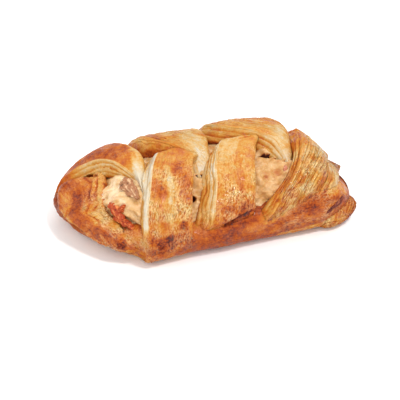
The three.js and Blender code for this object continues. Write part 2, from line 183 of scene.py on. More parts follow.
# Creases, folds and patches on the crust: half their width in mm, how far they stand out or sink in, how
# much browner or paler they are, and the line they follow as (along, turn).
MARKS = (
    # The first mark sinks the gap under the first arcs and paints it darker: painted shade
    (1.2, -2.4, 0.5, (-54.5, 144), (-52.3, 134), (-50.5, 124)),  # dark gap under the first arcs
    (3.6, 0.2, -0.26, (-79, 122), (-81, 90), (-82, 55), (-82, 25)),  # pale left rim
    (3.6, 0.4, -0.18, (15, 1), (23, 6), (33, 14)),  # golden foot of front_4
    (5, 0, 0.2, (-74, 174), (-64, 166)),  # red-brown tip
    (3, 0.2, -0.1, (-68, 153), (-71, 148), (-75, 138)),  # golden band beside it
    (6, 0, 0.16, (-54.5, 122), (-58, 106), (-60, 98)),  # brown shoulder of front_1
    (5, 0, -0.14, (-68, 138), (-66, 122), (-65, 108)),
    (3.4, 0, -0.36, (-31.5, 116), (-31, 98), (-33, 84), (-36.4, 66), (-39, 50)),  # pale tip of back_1
    (6, 0, -0.2, (-3, 114), (-3, 100), (-2, 80), (-5, 56)),  # pale tip of back_2
    (7, 0, -0.16, (40, 96), (38, 76), (36, 56)),  # pale tip of back_3
    (3.4, 0, -0.03, (-53, 110), (-55, 92), (-58, 60), (-61.5, 34), (-63, 18)),  # golden half of front_1
    (4, 0, 0.1, (-68, 24), (-71, 40)),
    (5, 0, -0.16, (-56, 13), (-51, 5)),
    (2.6, -0.5, 0.4, (-62.5, 1.5)), (1, -0.7, 0.6, (-73, -8)), (1.2, -0.8, 0.8, (-70.2, -9.5), (-68.6, -10)),
    (4, 0, 0.08, (-72, 10), (-66, 4)),
    (2.6, -0.7, 0.28, (-20.5, 16)),
    (3, 0, 0.14, (-21, 12), (-16.5, 20)),
    (3.8, 0, 0.2, (-30, 52), (-28, 42)),
    (3.6, 0, 0.2, (-15.5, 68), (-15.5, 36)),
    (1.8, -0.4, -0.3, (-21, 70), (-22, 50), (-24.5, 36)),
    (3, -0.7, 0.24, (-34, 5), (-30, 6.5)),
    (4, -0.3, 0.16, (-36, -2), (-24, 6)),
    (1, 0, 0.12, (-22, 108), (-15, 104), (-10, 96)),
    (1.6, -0.8, 0.3, (1, 9), (8, 13), (15, 17)),  # red crease below front_3
    (1.7, -1, 0.04, (49, 48), (44, 41), (39, 32.5)),  # fold in the fan
    (0.8, -0.6, 0.12, (39, 32.5), (34, 28), (27, 21)),
    (4, 0, -0.16, (40, 26), (44, 34), (47, 40)),
    (4, 0, -0.14, (-24, 34), (-26, 24)),
    (3, 0, -0.1, (22, 18), (30, 23)),
    (3.6, 0, -0.12, (49.5, 20), (56, 21)),
    (5, 0.2, -0.26, (55, 19), (61, 19), (67, 17)),  # golden right end
    (5, 0, 0.12, (70, 30), (76, 44), (77, 70)),
    (6, 0, -0.12, (28, -2), (38, 3), (49, 8)),  # golden lobe
    (3, 0, -0.12, (34, -14), (46, -12), (54, -10)),
    (4, 0, -0.1, (20, -4), (26, -6)),
    (2.6, 0, 0.12, (34, 8), (42, 11)),
    (5, 0, -0.12, (45, 56), (54, 60)),
    (3, 0, -0.1, (55, 42), (58, 30)),
    (1, -0.5, 0.16, (53, 27), (48, 19.5)),
    (1, -0.5, 0.2, (26, 96), (21, 94)),
    (4, 0, -0.14, (17, 46), (16.5, 32)),
    (5, 0, 0.1, (6, 24), (11, 18)),
)

# Stacks of broken layers: how far they reach from their line, how thick a layer is, how far it stands out,
# how brown it is, how much browner at its end, the only body it is on, and the line.
STACKS = (
    (5, 1.6, 1.1, 0.5, 0, None, (-50, -12), (-60, -12), (-70, -14), (-78, -12)),  # flaky foot at the left
    (3, 1.3, 0.4, 0.54, 0, None, (30, -16), (48, -13), (60, -9)),  # lower rim right
    (28, 2, 0.8, 0.32, 0.56, KNOB_BODY, (60, 19), (53, 8), (49, -6)),  # knob
)
STACK_DARK = 0.34
STACK_SHARE = 0.8

# Noise on the dough: (amount, mm, seed)
MARK_EDGES = ((0.3, 2.2, 35), (0.2, 0.9, 36))
STACK_EDGES = ((0.6, 6, 37), (0.25, 1.8, 38))
SKIN_BUMPS = ((0.2, 1.5, 31), (0.06, 0.8, 33))
BLOTCHES = ((0.12, 10, 41), (0.08, 4.4, 42), (0.07, 1.8, 43))  # how much browner

# Where the strips' feet melt into the wall
MERGED_TURNS = (-2, 13)
MERGED_ALONG = (14, 22)
MELTED_LINE = ((18, 1), (25, 10), (33, 16), (46, 19), (60, 20))  # along the edge of the fan
MELTED_REACH = (1, 4.5)
MELTED_SHARE = 0.8
MERGED_ROUNDS = (14, 40)  # of smoothing, for the form and for the colour

# How brown the dough is, with painted shade in its grooves and gaps
WALL_BAKE = (0.74, 0.84, -22, -6)  # at the left, at the right, and where it changes
RIM_PALE = (0.18, 1.5, 5)  # how much paler the wall is at the floor, and the heights where that goes
# Browner in the groove under each leaf of a cut side: a line between layers, with painted shade under the
# leaf
GROOVE_LINE_AND_SHADE = 0.34
SIDE_BAKE = (0.4, 0.2)  # a strip's side, and how much browner its grooves are
# Undersides that show in the gaps are painted dark: painted shade under the strips
UNDERSIDE_PAINTED_SHADE = 0.84  # the undersides that show in the gaps
DEEP_BAKE = 0.78  # from here on it browns less

# How cracked and flaky the skin is
WALL_CRACKLE = (0.7, 0.14, -40, -16)  # at the left, in the middle, and where it changes
LOBE_CRACKLE = (0.4, 20, 34)  # how much more at the right, and where it comes in
CUT_SMOOTHER = {-1: 0.8, 1: -1.6}  # how much smoother the cut side is, on the left and on the right

# Filling
FILLING_LIFT = -7
FILLING_FLOOR = 7
FILLING_ENDS = (-63, 60)
FILLING_ROUNDING = (10, 2)
FILLING_TURNS = (13, 167)
LUMPS = ((0.42, 0.09, 0.9), (0.9, 0.13, 0.5))  # (waves along, waves round, height)
FILLING_GRAIN = ((0.8, 3.2, 51), (0.5, 1.4, 52))  # (height, mm, seed)
# Hollows are sunk and painted dark towards their middles: painted shade in the gaps under the strips
HOLLOWS = (  # (along, turn, radius, depth)
    (-58, 104, 2.4, 3), (-5, 64.5, 2.4, 1.6), (-12, 38, 2.6, 4), (29.5, 77, 3, 4.5), (32.6, 75, 3, 4.5),
    (36, 68.5, 2.2, 4), (39, 62, 1.4, 4), (-33, 100, 8, 7),
)
SWELLS = ((-51, 66, 20, 56, 5), (30, 45, 16, 50, 1.6))  # (along, turn, length, height, rise)
TOASTS = (  # (along, turn, radius, how much browner)
    (28.5, 48, 5, 0.2), (25, 44, 3.6, 0.14), (33, 49, 4, 0.14), (30, 46, 22, 0.07), (-8, 52, 13, 0.06),
    (-52, 70, 18, -0.22),
)

# Shreds of each bit of bacon, each a row of (turn, along, half width, lift)
BACON = {
    "bacon_1": (
        ((56, -53.4, 0.8, -2.4), (49, -53.4, 2, -1.6), (41, -53.6, 1.8, -1.5), (33, -54.6, 2.4, -1.9),
         (26, -56, 2.2, -2.3), (18, -57, 1, -3.2)),
        ((44, -49, 0.4, -2.2), (40, -50.8, 0.8, -1.6), (35, -53, 1.2, -1.8)),
        ((28, -55.4, 1, -2.7), (22, -54, 1.7, -2.5), (15, -54.4, 0.7, -3.2)),
    ),
    "bacon_2": (
        ((80, -43.4, 1.2, -3), (73, -43.2, 2.4, -1.8), (64, -43, 3.2, -1.6), (55, -42.6, 2.8, -2),
         (47, -42, 1.4, -3.2)),
    ),
    "bacon_3": (((47.5, 35.8, 0.5, -5), (49.5, 36.2, 0.9, -4), (52, 36.6, 0.8, -4.2), (54, 37, 0.5, -5)),),
    "bacon_4": (
        ((-1, 48, 0.7, -0.6), (5, 51.4, 1.8, 1.2), (8.5, 54.6, 2.5, 1.9), (11.5, 58, 1.7, 1),
         (14, 61, 0.5, -0.8)),
    ),
}
BACON_THICKNESS = 3


# Numbers

def ramp(x, start, end):
    """Smooth 0 to 1 ramp of x between two values."""
    t = np.clip((np.asarray(x, float) - start) / (end - start), 0, 1)
    return t * t * (3 - 2 * t)


def mix(a, b, t):
    return a + (b - a) * t


def spline(values, u):
    """Value at share u of the way along a row of evenly spaced values, by a Catmull-Rom spline."""
    values = np.asarray(values, float)
    at = np.clip(u, 0, 1) * (len(values) - 1)
    k = np.minimum(np.floor(at).astype(int), len(values) - 2)
    t = at - k
    a, b, c, d = (values[np.clip(k + i, 0, len(values) - 1)] for i in (-1, 0, 1, 2))
    return b + 0.5 * t * (c - a + t * (2 * a - 5 * b + 4 * c - d + t * (3 * (b - c) + d - a)))


def noise(points, size, seed=0):
    """Smooth random value between -1 and 1 at each point, in blobs of about this size."""
    at = np.asarray(points, float) / np.asarray(size, float)
    cell = np.floor(at).astype(np.int64)
    part = at - cell
    part = part * part * (3 - 2 * part)
    total = np.zeros(at.shape[:-1])
    for corner in np.ndindex(2, 2, 2):
        key = cell + np.array(corner)
        mixed = key[..., 0] * 73856093 ^ key[..., 1] * 19349663 ^ key[..., 2] * 83492791 ^ seed * 49979687
        mixed = (mixed ^ (mixed >> 13)) * 1274126177 & 0x7FFFFFFF
        mixed = (mixed ^ (mixed >> 15)) * 2246822519 & 0x7FFFFFFF
        weight = np.prod(np.where(corner, part, 1 - part), axis=-1)
        total += weight * ((mixed >> 7 & 0xFFFF) / 32767.5 - 1)
    return total


def noises(points, rows):
    return sum(amount * noise(points, size, seed) for amount, size, seed in rows)


def field(x, y, third, size, seed=0):
    """Smooth noise over two broadcast coordinates, different for each value of the third."""
    x, y, third = np.broadcast_arrays(x, y, third)
    return noise(np.stack([x, y, third * 37.3], axis=-1), (size[0], size[1], 1), seed)


# Places

def envelope(along, turn):
    """Points of the envelope itself."""
    along, turn = np.broadcast_arrays(np.asarray(along, float), np.asarray(turn, float))
    straight = np.where(along < 0, LEFT_LENGTH, RIGHT_LENGTH) - END_LENGTH
    t = np.clip((np.abs(along) - straight) / (END_LENGTH * np.pi / 2), 0, END_LIMIT)
    x = np.sign(along) * np.minimum(np.abs(along), straight + END_LENGTH * np.sin(t * np.pi / 2))
    scale = np.cos(t * np.pi / 2) ** END_POWER
    c = np.cos(np.radians(turn))
    s = np.sin(np.radians(turn))
    lower = sum(share * ramp(x, start, end) for start, end, share in (LEFT_SLOPE, RIGHT_SLOPE))
    rise = np.where(s > 0, (CREST - WAIST) * (1 - lower), WAIST + BELLY_SINK)
    power = np.where(s > 0, SECTION_POWER, BELLY_POWER)
    radius = (np.abs(c / (WIDTH / 2)) ** power + np.abs(s / rise) ** power) ** (-1 / power)
    y = -radius * c * scale
    z = WAIST + radius * s * scale
    skew = LEFT_SKEW * ramp(-x, *SKEW_REACH) + RIGHT_SKEW * ramp(x, *SKEW_REACH)
    tuck = FRONT_TUCK["depth"] * ramp(-x, *FRONT_TUCK["along"]) * ramp(-y, *FRONT_TUCK["across"])
    tuck = tuck * (1 - ramp(z, *FRONT_TUCK["heights"]))
    point = BACK_POINT["depth"] * ramp(-x, *BACK_POINT["along"]) * ramp(y, *BACK_POINT["across"])
    return np.stack([x - skew * y + tuck - point, y, z], axis=-1)


def place(along, turn, lift):
    """Points at a lift from the envelope, along its normal."""
    du = envelope(along + NORMAL_STEP, turn) - envelope(along - NORMAL_STEP, turn)
    dv = envelope(along, turn + NORMAL_STEP) - envelope(along, turn - NORMAL_STEP)
    normal = np.cross(du, dv)
    normal /= np.linalg.norm(normal, axis=-1, keepdims=True)
    return envelope(along, turn) + normal * np.asarray(lift)[..., None]


# Meshes

def tube_faces(rows, columns):
    """Triangles of a closed tube of rings, with a fan at each end round one middle point each."""
    ring = np.arange(rows * columns).reshape(rows, columns)
    beside = np.roll(ring, -1, axis=1)
    a, b, c, d = (part.ravel() for part in (ring[:-1], beside[:-1], beside[1:], ring[1:]))
    middle = np.full(columns, rows * columns)
    faces = ((a, b, c), (a, c, d), (middle, beside[0], ring[0]), (middle + 1, ring[-1], beside[-1]))
    return np.concatenate([np.stack(corners, 1) for corners in faces])


def with_middles(grid):
    """The points of a grid of rings, followed by the middle of its first and last ring."""
    flat = grid.reshape(-1, grid.shape[-1])
    return np.concatenate([flat, grid[0].mean(0, keepdims=True), grid[-1].mean(0, keepdims=True)])


def add_attribute(mesh, name, values):
    kind, key = ("FLOAT", "value") if values.ndim == 1 else ("FLOAT_VECTOR", "vector")
    attribute = mesh.attributes.new(name, kind, "POINT")
    attribute.data.foreach_set(key, np.asarray(values, np.float32).ravel())


def read_attribute(mesh, name):
    attribute = mesh.attributes[name]
    count, key = (1, "value") if attribute.data_type == "FLOAT" else (3, "vector")
    values = np.empty(len(mesh.vertices) * count, np.float32)
    attribute.data.foreach_get(key, values)
    return values.reshape(-1, count).astype(float)


def add_object(name, data):
    made = bpy.data.objects.new(name, data)
    bpy.context.scene.collection.objects.link(made)
    return made


def make_object(name, points, faces, attributes):
    """An object from points in mm and triangles, wound so that its faces point out."""
    corners = points[faces]
    volume = np.einsum("ij,ij->i", corners[:, 0], np.cross(corners[:, 1], corners[:, 2])).sum()
    if volume < 0:
        faces = faces[:, ::-1]
    mesh = bpy.data.meshes.new(name)
    mesh.from_pydata(points * MM, [], faces)
    for key, values in attributes.items():
        add_attribute(mesh, key, values)
    mesh.update()
    return add_object(name, mesh)


def dough_object(name, grid, spot, run, cut=(3.0, 0.0, 0.5), peel=(0.0, 0.0, 1.0)):
    """A closed tube of dough that carries where each of its points lies."""
    shape = grid.shape[:2]
    points = with_middles(grid)
    attributes = {"known": np.ones(len(points))}
    for key, parts in (("spot", spot), ("run", run), ("cut", cut), ("peel", peel)):
        spread = [np.broadcast_to(part, shape) for part in parts]
        attributes[key] = with_middles(np.stack(spread, axis=-1))
    return make_object(name, points, tube_faces(*shape), attributes)


# Dough

def crown_lift(made, turn, across):
    """Lift of a strip's crown, which grows out of the wall at the foot and dives under the next strip."""
    from_foot = FOOT_DROP * (1 - ramp(np.abs(turn - made["foot"]), 0, made["foot_run"]))
    tip_drop = TIP_DROP[0] if made["foot"] < made["tip"] else TIP_DROP[1]
    to_tip = tip_drop * (1 - ramp(np.abs(turn - made["tip"]), 0, made["tip_run"]))
    to_tip = to_tip * (1 - made["tip_hold"] * ramp(across, *TIP_HOLD))
    return made["crown"] - from_foot - to_tip


def layered(level, length, index, layers):
    """Height share of a cut side at each level from 0 to 1, as a stack of rounded, broken leaves of dough,
    how far each point stands out, and how near it is to the groove under its leaf."""
    middle = np.sin(np.pi * level) ** 0.5
    bend = 0.5 * field(length, level * 3, index, (9, 1), 3)
    bend = bend + 0.28 * field(length, level * 6, index, (3.2, 1), 4)
    phase = np.clip(layers * level + bend * middle * min(1, layers / 3), 0, layers)
    leaf = np.minimum(np.floor(phase), layers - 1)
    part = phase - leaf
    whole = ramp(field(length, leaf * 3.1, index, (8, 1), 5), -0.6, 0.2)
    stepped = (leaf + 1 - (1 - part) ** 2.6) / layers
    height = mix(phase / layers, stepped, 0.35 + 0.65 * whole)
    groove = np.exp(-(np.minimum(part, 1.12 - part) / 0.22) ** 2) * (0.25 + 0.75 * whole)
    out = LEAF_OUT * field(length, leaf * 7.7, index, (11, 1), 6) * np.sin(np.pi * part) ** 0.5
    return height, out - LEAF_GROOVE * groove * middle, groove


def crown_relief(across, length, index, ply, rough, lined):
    """Ripples, wrinkles and peeled layers that run along a strip, how brown each peeled layer is, and how
    near a point is to a layer's torn edge."""
    sizes = ((8, 28), (2.6, 9), (1.5, 3.6), (6, 17), (1.8, 4))
    fold, wrinkle, crinkle, broad, fine = (
        field(across, length, index, size, seed) for seed, size in enumerate(sizes, 11)
    )
    wrinkle = (0.12 + 0.2 * rough) * wrinkle
    crinkle = 0.3 * rough * (0.5 - np.abs(crinkle))
    phase = 1.7 * broad + 0.5 * fine + across * ply
    tread = np.floor(phase)
    part = phase - tread
    peeled = PEEL_HEIGHT * (0.35 + 0.65 * lined) * (tread + ramp(part, 0.88, 1) - phase)
    torn = (0.3 + 0.7 * lined) * (ramp(part, 0.8, 0.9) - ramp(part, 0.96, 1))
    browned = (0.1 + 0.4 * max(0, ply - 0.2)) * field(tread * 5.3, 0, index, (1, 1), 16)
    browned = browned + (0.04 + 0.18 * lined) * (ramp(part, 0.96, 1) + 1 - ramp(part, 0, 0.1))
    return 0.5 * fold + wrinkle + crinkle + peeled, browned, torn


def strip(index, name, made):
    """One folded strip of dough. Its rings run from the lower turn to the higher."""
    whole = abs(made["tip"] - made["foot"]) * MM_PER_DEGREE
    rows = int(whole / STEP) + 1
    share = np.linspace(0, 1, rows)[:, None]
    if made["foot"] > made["tip"]:
        share = 1 - share
    turn = mix(made["foot"], made["tip"], share)
    length = share * whole
    left = spline(made["left"], share) + 0.5 * field(length, 0, index, (9, 1), 1)
    right = spline(made["right"], share) + 0.4 * field(length, 0, index, (7, 1), 2)
    width = right - left
    wide, drop, layers = made["slope"]
    grown = ramp(turn, *made["merge"])
    slope = np.minimum(wide / width * mix(0.5, 1, grown), SLOPE_SHARE)
    edge = np.minimum(EDGE_WIDTH / width, 0.25)
    typical = float(width.mean())

    level = np.linspace(0, 1, int(wide / STEP * CUT_DENSITY), endpoint=False)[None, :]
    height, out, groove = layered(level, length, index, layers)
    crown = np.linspace(0, 1, int((typical - wide) / STEP))[None, :]
    bend = np.linspace(0, 1, 6)[1:][None, :] * np.pi / 2
    side = np.linspace(0, 1, 12)[1:][None, :]
    side_groove = 0.5 - 0.5 * np.cos(side * 2 * np.pi * SIDE_GROOVES)
    u = np.concatenate([
        slope * level,
        slope + (1 - edge - slope) * crown,
        1 - edge + edge * np.sin(bend),
        1 - (0.03 * side) - SIDE_DEPTH * side_groove / width,
    ], axis=1)
    under = np.array([0.97, 0.75, 0.5, 0.25, 0.03])[None, :]
    across = np.concatenate([u, np.broadcast_to(under, (rows, under.shape[1]))], axis=1)
    where = across if made["cut"] < 0 else 1 - across
    along = mix(left, right, where)
    thick = THICKNESS * (1 - THIN_ENDS[2] * ramp(np.abs(along), *THIN_ENDS[:2]))
    starts = np.cumsum([0] + [part.shape[1] for part in (level, crown, bend, side, under)])
    on_cut, _, on_bend, on_side, on_under = (slice(*ends) for ends in zip(starts, starts[1:]))
    on_top = slice(0, starts[3])
    down = np.zeros(across.shape)
    arch = made["arch"] * (2 * across - ARCH_MIDDLE) ** 2
    drop = drop * np.where(made["foot"] > made["tip"], 1 - TIP_FADE[0] * ramp(share, *TIP_FADE[1:]), 1)
    down[:, on_cut] = drop * (1 - height) * mix(0.2, 1, grown) - out * grown
    down[:, on_bend] = EDGE_DROP * (1 - np.cos(bend))
    down[:, on_top] += arch[:, on_top]
    down[:, on_side] = mix(EDGE_DROP + arch[:, on_bend][:, -1:], thick[:, on_side], side * 0.97)
    down[:, on_under] = thick[:, on_under]

    across_mm = across * width
    rough = spline(made["crackle"], share)
    lined = spline(made["lined"], share)
    relief, browned, torn = crown_relief(across_mm, length, index, made["ply"], rough, lined)
    shown = ramp(across, slope * 0.8, slope * 1.25) * (1 - ramp(across, 1 - edge * 0.6, 1))
    shown[:, on_top.stop:] = 0
    down -= relief * shown

    # Level: 0 to 1 up the cut side, mm more across the crown, -1 on the other side, -2 below
    level_all = 1 + across_mm - slope * width
    level_all[:, on_cut] = level
    level_all[:, on_side] = -1
    level_all[:, on_under] = -2
    grooves = np.zeros(across.shape)
    grooves[:, on_cut] = groove
    grooves[:, on_side] = side_groove

    turned = turn + made["slant"] * where * (1 - share)
    sooner, start, end = made["tip_slant"]
    turned = turned - sooner * ramp(across, start, end) * ramp(share, 0.7, 1)
    lift = crown_lift(made, turn, across) - down + made["lean"] * (0.5 - across)
    grid = place(along, turned, lift)
    flip = slice(None, None, -1 if made["cut"] > 0 else 1)
    carried = (
        (along, turned, lift), (across_mm, length, np.array(float(index))),
        (level_all, grooves, share), (browned * shown, torn * shown, grown),
    )
    carried = [[np.broadcast_to(v, across.shape)[:, flip] for v in parts] for parts in carried]
    return dough_object(name, grid[:, flip], *carried)


def trough():
    """The low wall and floor of dough that the strips grow from, with closed ends."""
    rows = int((WALL_ENDS[1] - WALL_ENDS[0]) / WALL_STEP)
    at = np.linspace(*WALL_ENDS, rows)[:, None]
    fine = WALL_STEP / MM_PER_DEGREE
    turn = np.concatenate([
        np.arange(270, 242, -4), np.arange(242, 150, -fine), np.arange(150, 32, -4),
        np.arange(32, -62, -fine), np.arange(-62, -90, -4),
    ])[None, :]
    side = np.where(turn > 90, 180 - turn, turn)
    climb = np.where(turn < 90, sum(rise * ramp(at, start, end) for start, end, rise in WALL_CLIMB), 0)
    opened = ramp(side - climb, *WALL_TOP) * (1 - ramp(np.abs(at + 4), *TROUGH_ENDS))
    wall = WALL_LIFT - END_TUCK[2] * ramp(np.abs(at), *END_TUCK[:2])
    for a, t, length, height, lift in WALL_BULGES:
        wall = wall + lift * (1 - ramp(np.hypot((at - a) / length, (turn - t) / height), 0, 1))
    relief = 0.5 * field(turn * MM_PER_DEGREE, at, WALL_BODY, (9, 22), 21)
    relief = relief + 0.2 * field(turn * MM_PER_DEGREE, at, WALL_BODY, (2.5, 9), 22)
    lift = mix(wall + relief, TROUGH_LIFT, opened)
    grid = place(at, turn, lift)
    run = (turn * MM_PER_DEGREE, at, float(WALL_BODY))
    return dough_object("trough", grid, (at, turn, lift), run)


def egg(name, index, centre, radii, pinch=0.0, rings=60):
    """A body with a round section every way, pinched towards its right end."""
    a = np.linspace(0.02, np.pi - 0.02, rings)[:, None]
    b = np.linspace(0, 2 * np.pi, rings * 2, endpoint=False)[None, :]
    wide = np.sin(a) * (1 - pinch * np.cos(a))
    ball = np.stack(np.broadcast_arrays(np.cos(a), wide * np.cos(b), wide * np.sin(b)), axis=-1)
    grid = ball * np.array(radii) + np.array(centre)
    run = (b * radii[1], a * radii[0] + 0 * b, float(index))
    return dough_object(name, grid, (centre[0], 0.0, 0.0), run)


def join(objects):
    """One mesh of the union of some objects, which are removed."""
    first, others = objects[0], objects[1:]
    group = bpy.data.collections.new("joined")
    bpy.context.scene.collection.children.link(group)
    for other in others:
        bpy.context.scene.collection.objects.unlink(other)
        group.objects.link(other)
    modifier = first.modifiers.new("join", "BOOLEAN")
    modifier.operation = "UNION"
    modifier.operand_type = "COLLECTION"
    modifier.collection = group
    modifier.solver = "MANIFOLD"
    graph = bpy.context.evaluated_depsgraph_get()
    mesh = bpy.data.meshes.new_from_object(first.evaluated_get(graph))
    for other in objects:
        bpy.data.objects.remove(other)
    bpy.data.collections.remove(group)
    return mesh


def mesh_points(mesh):
    points = np.empty(len(mesh.vertices) * 3, np.float32)
    mesh.vertices.foreach_get("co", points)
    return points.reshape(-1, 3)


def mesh_faces(mesh):
    mesh.calc_loop_triangles()
    faces = np.empty(len(mesh.loop_triangles) * 3, np.int32)
    mesh.loop_triangles.foreach_get("vertices", faces)
    return faces.reshape(-1, 3)


def fill_unknown(mesh, names):
    """Values at the points of a union, where a point that it made has those of the nearest other."""
    known = read_attribute(mesh, "known")[:, 0] > 0.999
    points = mesh_points(mesh)
    tree = KDTree(int(known.sum()))
    for source in np.flatnonzero(known):
        tree.insert(points[source], source)
    tree.balance()
    nearest = np.arange(len(points))
    for target in np.flatnonzero(~known):
        nearest[target] = tree.find(points[target])[1]
    return {name: read_attribute(mesh, name)[nearest] for name in names}


def vertex_normals(points, faces):
    corners = points[faces]
    flat = np.cross(corners[:, 1] - corners[:, 0], corners[:, 2] - corners[:, 0])
    normals = np.zeros(points.shape)
    for k in range(3):
        for axis in range(3):
            normals[:, axis] += np.bincount(faces[:, k], flat[:, axis], len(points))
    return normals / np.maximum(np.linalg.norm(normals, axis=1, keepdims=True), 1e-9)


def near_line(points, line, reach):
    """Distance in mm of points on the envelope from a line through some places, within a reach."""
    line = np.array(line, float)
    if len(line) > 1:
        line = np.stack([spline(line[:, k], np.linspace(0, 1, 12 * len(line))) for k in range(2)], axis=1)
    steps = envelope(line[:, 0], line[:, 1])
    distance = np.full(len(points), np.inf)
    close = np.all((points > steps.min(0) - reach) & (points < steps.max(0) + reach), axis=1)
    gaps = np.linalg.norm(points[close][:, None, :] - steps[None, :, :], axis=2)
    distance[close] = gaps.min(axis=1)
    return distance


def marked(points, base):
    """How far the marks move each point in or out, and how much browner they make it."""
    moved, browned = np.zeros((2, len(points)))
    wobble = noises(points, MARK_EDGES)
    for half, out, change, *line in MARKS:
        weight = 1 - ramp(near_line(base, line, 2 * half) / half + wobble, 0.3, 1.3)
        moved += out * weight
        browned += change * weight
    return moved, browned


def stacked(points, base, body):
    """How far broken layers move each point in or out, how brown they make it and how much they count."""
    moved, bake, counts = np.zeros((3, len(points)))
    wobble = noises(points, STACK_EDGES)
    for reach, thick, out, brown, rise, only, *line in STACKS:
        distance = np.minimum(near_line(base, line, 1.3 * reach) + wobble, 2 * reach)
        weight = (1 - ramp(distance / reach, 0.7, 1.1)) * (only is None or body == only)
        phase = distance / thick
        part = phase - np.floor(phase)
        leaf = 0.12 * noise(np.floor(phase)[:, None] * 7.3 + np.zeros(3), 1, 39)
        moved += weight * out * (0.5 - part)
        layer = brown + leaf + STACK_DARK * ramp(part, 0.6, 1) + rise * np.clip(distance / reach, 0, 1)
        bake = np.where(weight > counts, layer, bake)
        counts = np.maximum(counts, weight)
    return moved, bake, counts


def relax(points, faces, weight, rounds):
    """Smooths a mesh, or values on it, where weight is 1 and leaves it where it is 0."""
    edges = np.concatenate([faces[:, [0, 1]], faces[:, [1, 2]], faces[:, [2, 0]]])
    count = np.bincount(edges[:, 0], minlength=len(points))
    for _ in range(rounds):
        others = points[edges[:, 1]].T
        sums = np.stack([np.bincount(edges[:, 0], other, len(points)) for other in others], 1)
        points = points + weight[:, None] * (sums / np.maximum(count, 1)[:, None] - points)
    return points


def make_dough():
    parts = [trough(), egg("knob", KNOB_BODY, **KNOB)]
    parts += [egg(f"core_{k}", CORE_BODY, **core, rings=24) for k, core in enumerate(CORES)]
    parts += [strip(index, name, made) for index, (name, made) in enumerate(STRIPS.items())]
    joined = join(parts)
    values = fill_unknown(joined, ("spot", "run", "cut", "peel"))
    points = mesh_points(joined).astype(float) / MM
    faces = mesh_faces(joined)
    spot = values["spot"]
    side = np.where(spot[:, 1] > 90, 180 - spot[:, 1], spot[:, 1])
    body = np.round(values["run"][:, 2]).astype(int)
    base = np.where(body[:, None] > WALL_BODY, points, envelope(spot[:, 0], spot[:, 1]))
    merged = (1 - ramp(side, *MERGED_TURNS)) * (1 - ramp(spot[:, 0], *MERGED_ALONG))
    melted = 1 - ramp(near_line(base, MELTED_LINE, 6) + 1.5 * noise(points, 3, 46), *MELTED_REACH)
    merged = np.maximum(merged, MELTED_SHARE * melted * (body != KNOB_BODY))
    points = relax(points, faces, merged, MERGED_ROUNDS[0])
    normals = vertex_normals(points, faces)
    moved, browned = marked(points, base)
    stack_moved, stack_bake, stack_counts = stacked(points, base, body)
    moved += stack_moved
    ridges = 0.5 - np.abs(noise(points, 1.7, 34))
    crackle, lined = dough_skin(points, values, body)
    bumps = noises(points, SKIN_BUMPS) + (0.16 + 0.4 * merged) * ridges
    bumps = 0.2 * noise(points, 3.4, 32) + bumps * (0.25 + 0.85 * crackle)
    points = points + normals * (bumps + moved)[:, None]
    points[:, 2] = np.maximum(points[:, 2], 0)
    bake = dough_bake(points, faces, values, body, browned, bumps, merged)
    stack_bake = np.clip(stack_bake + 0.5 * bumps + browned, 0, 1)
    bake = mix(bake, stack_bake, STACK_SHARE * stack_counts)
    bpy.data.meshes.remove(joined)
    attributes = {"bake": bake, "grain": values["run"], "crackle": crackle, "lined": lined}
    return make_object("bun_dough", points, faces, attributes)


def dough_bake(points, faces, values, body, browned, bumps, merged):
    """How brown the dough is at each point, with painted shade in grooves and on undersides: 0 is pale cream,
    1 nearly black.
    """
    level, groove, share = values["cut"].T
    browned_layer, torn, grown = values["peel"].T
    along = values["spot"][:, 0]
    bake = mix(*WALL_BAKE[:2], ramp(along, *WALL_BAKE[2:]))
    bake = bake - RIM_PALE[0] * (1 - ramp(points[:, 2], *RIM_PALE[1:]))
    outer, crest = np.full((2, len(points)), 0.5)
    pale, fade = np.ones((2, len(points)))
    for k, made in enumerate(STRIPS.values()):
        mine = body == k
        bake[mine] = spline(made["bake"], share[mine])
        outer[mine], crest[mine] = made["cut_bake"]
        pale[mine] = ramp(share[mine], *made["pale"])
        fade[mine] = made["fade"]
    on_slope = ramp(level, -0.2, 0) * (1 - ramp((level - 1) / fade, 0, 1)) * grown * pale
    # grooves under the leaves get a brown line and painted shade
    layer = mix(outer, crest, ramp(level, 0.35, 0.75)) + GROOVE_LINE_AND_SHADE * groove
    bake = mix(bake, layer, on_slope)
    side = level < -0.5
    bake[side] = SIDE_BAKE[0] + SIDE_BAKE[1] * groove[side]
    # undersides: painted shade
    bake[level < -1.5] = UNDERSIDE_PAINTED_SHADE
    bake = relax(bake[:, None], faces, merged, MERGED_ROUNDS[1])[:, 0]
    blotch = noises(points, BLOTCHES)
    bake += blotch * mix(1, 0.4, on_slope) + browned + 0.22 * bumps + browned_layer - 0.12 * torn
    bake -= 0.55 * np.maximum(bake - DEEP_BAKE, 0)
    return np.clip(bake, 0, 1)


def dough_skin(points, values, body):
    """How cracked and flaky the skin is at each point, and how much it shows lines of layers, from 0 to 1."""
    level, _, share = values["cut"].T
    along = values["spot"][:, 0]
    crackle = mix(*WALL_CRACKLE[:2], ramp(along, *WALL_CRACKLE[2:]))
    crackle = crackle + LOBE_CRACKLE[0] * ramp(along, *LOBE_CRACKLE[1:])
    lined = np.full(len(points), 0.2)
    smoother = np.zeros(len(points))
    for k, made in enumerate(STRIPS.values()):
        mine = body == k
        smoother[mine] = CUT_SMOOTHER[made["cut"]]
        crackle[mine] = spline(made["crackle"], share[mine])
        lined[mine] = spline(made["lined"], share[mine])
    slope = ramp(level, -0.2, 0) * (1 - ramp(level, 1, 1.4))
    patchy = crackle * (1 - smoother * slope) + 0.7 * crackle * noise(points, 6, 45)
    return np.clip(patchy, 0, 1), np.clip(lined, 0, 1)


# Filling and bacon

